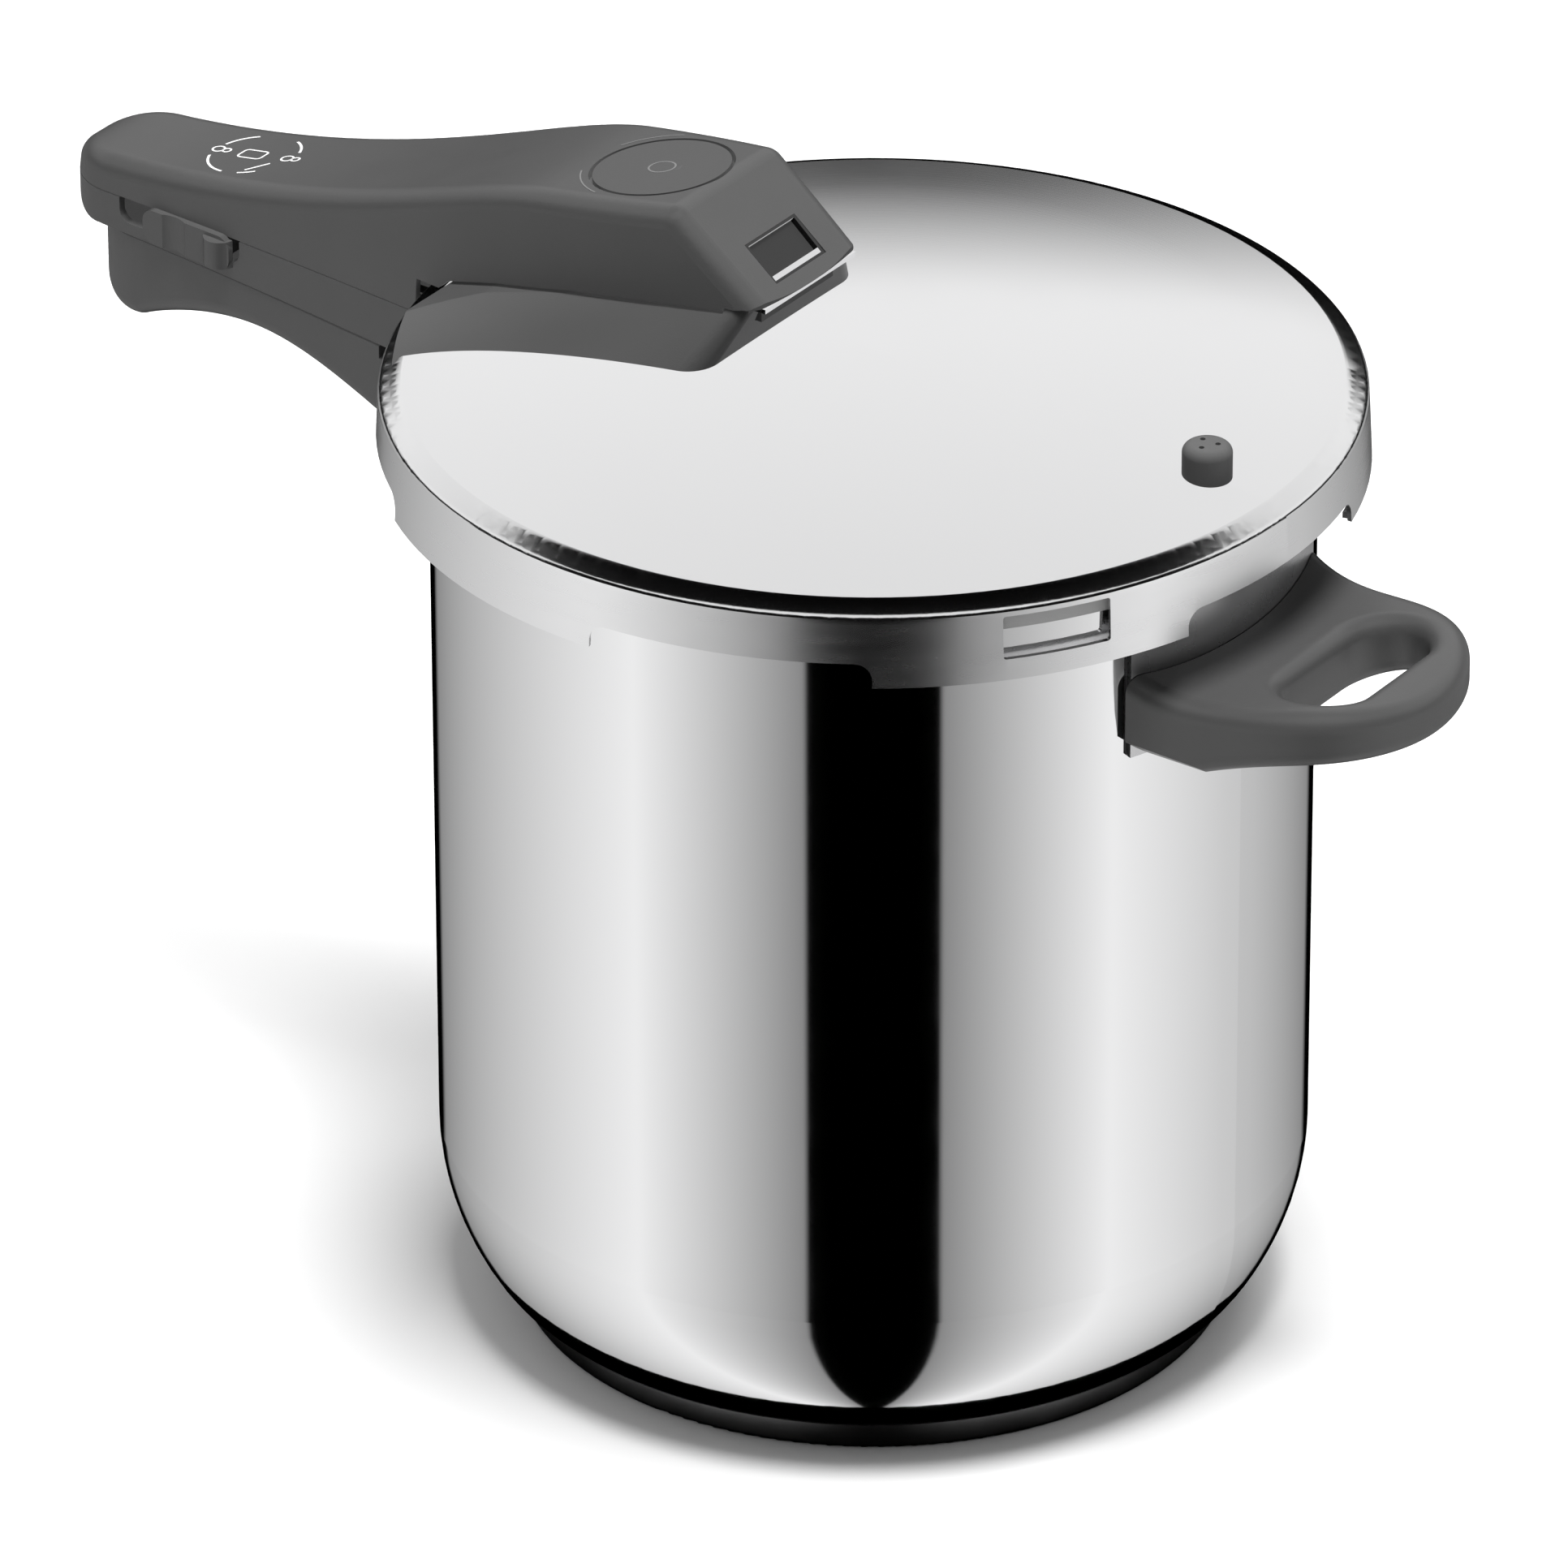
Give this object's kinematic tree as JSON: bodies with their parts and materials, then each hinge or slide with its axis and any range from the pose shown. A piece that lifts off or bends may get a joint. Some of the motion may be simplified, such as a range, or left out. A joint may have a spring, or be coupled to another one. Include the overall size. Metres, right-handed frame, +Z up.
{
  "type": "stovetop pressure cooker",
  "caption": "Stovetop pressure cooker: polished steel pot and locking lid, a split stick handle with a slider lock and pressure indicator, and a loop handle on the far side.",
  "frame": {"origin": "centre of the underside of the base, on the pot's axis", "axes": "+Z up along the pot's axis; the stick handles point to -X and the loop handle to +X"},
  "size_m": [0.415, 0.249, 0.2992],
  "materials": {
    "polished_steel": "mirror polish",
    "lid_steel": "satin",
    "base_steel": "spun satin",
    "aluminium_core": "plain",
    "bracket_steel": "satin",
    "fastener_steel": "plain",
    "handle_plastic": "satin moulded",
    "inner_plastic": "matte",
    "bright_trim": "polished",
    "indicator_rings": "pale",
    "seal_rubber": "grey silicone",
    "dark_rubber": "matte"
  },
  "bodies": {
    "pot": {"pot_shell": "polished_steel", "heat_spreader": "aluminium_core", "base_cap": "base_steel", "pot_handle_bracket": "bracket_steel", "pot_handle": "handle_plastic", "pot_handle_screw": "fastener_steel", "side_handle_bracket": "bracket_steel", "side_handle": "handle_plastic", "side_handle_screws": "fastener_steel"},
    "seal": {"sealing_ring": "seal_rubber"},
    "lid": {"lid_shell": "lid_steel", "handle_collar": "handle_plastic", "handle_stay": "bracket_steel", "handle_lower_shell": "handle_plastic", "handle_upper_shell": "handle_plastic", "handle_case_screws": "fastener_steel", "nose_block": "handle_plastic", "nose_strip": "bright_trim", "steam_outlet": "inner_plastic", "outlet_bar": "bright_trim", "valve_body": "bracket_steel", "valve_nut": "bracket_steel", "valve_seal": "dark_rubber", "indicator_guide": "inner_plastic", "indicator_spring": "fastener_steel", "vent_pipe": "bracket_steel", "vent_nut": "bracket_steel", "safety_pipe": "bracket_steel", "safety_nut": "bracket_steel", "safety_cap": "dark_rubber"},
    "lock": {"lock_slider": "handle_plastic", "lock_bar": "bracket_steel", "lock_spring": "fastener_steel"},
    "indicator": {"indicator_cap": "handle_plastic", "indicator_bands": "indicator_rings", "indicator_stem": "bracket_steel"},
    "vent": {"vent_ball": "fastener_steel"},
    "safety": {"safety_ball": "fastener_steel"}
  },
  "joints": [
    {"name": "lid_lift", "type": "slide", "parent": "pot", "child": "seal", "axis": [0, 0, 1], "range_m": [0, 0.2]},
    {"name": "lid_turn", "type": "hinge", "parent": "seal", "child": "lid", "pos_m": [0, 0, 0.25], "axis": [0, 0, 1], "range_deg": [0, 36]},
    {"name": "lock_slide", "type": "slide", "parent": "lid", "child": "lock", "axis": [-1, 0, 0], "range_m": [0, 0.01], "stiffness_N_per_m": 300, "springref_m": -0.004},
    {"name": "indicator_rise", "type": "slide", "parent": "lid", "child": "indicator", "axis": [0, 0, 1], "range_m": [0, 0.008], "stiffness_N_per_m": 400, "springref_m": -0.003, "deforming": ["indicator_spring"]},
    {"name": "vent_lift", "type": "slide", "parent": "lid", "child": "vent", "axis": [0, 0, 1], "range_m": [0, 0.0015]},
    {"name": "safety_lift", "type": "slide", "parent": "lid", "child": "safety", "axis": [0, 0, 1], "range_m": [0, 0.0015]}
  ]
}
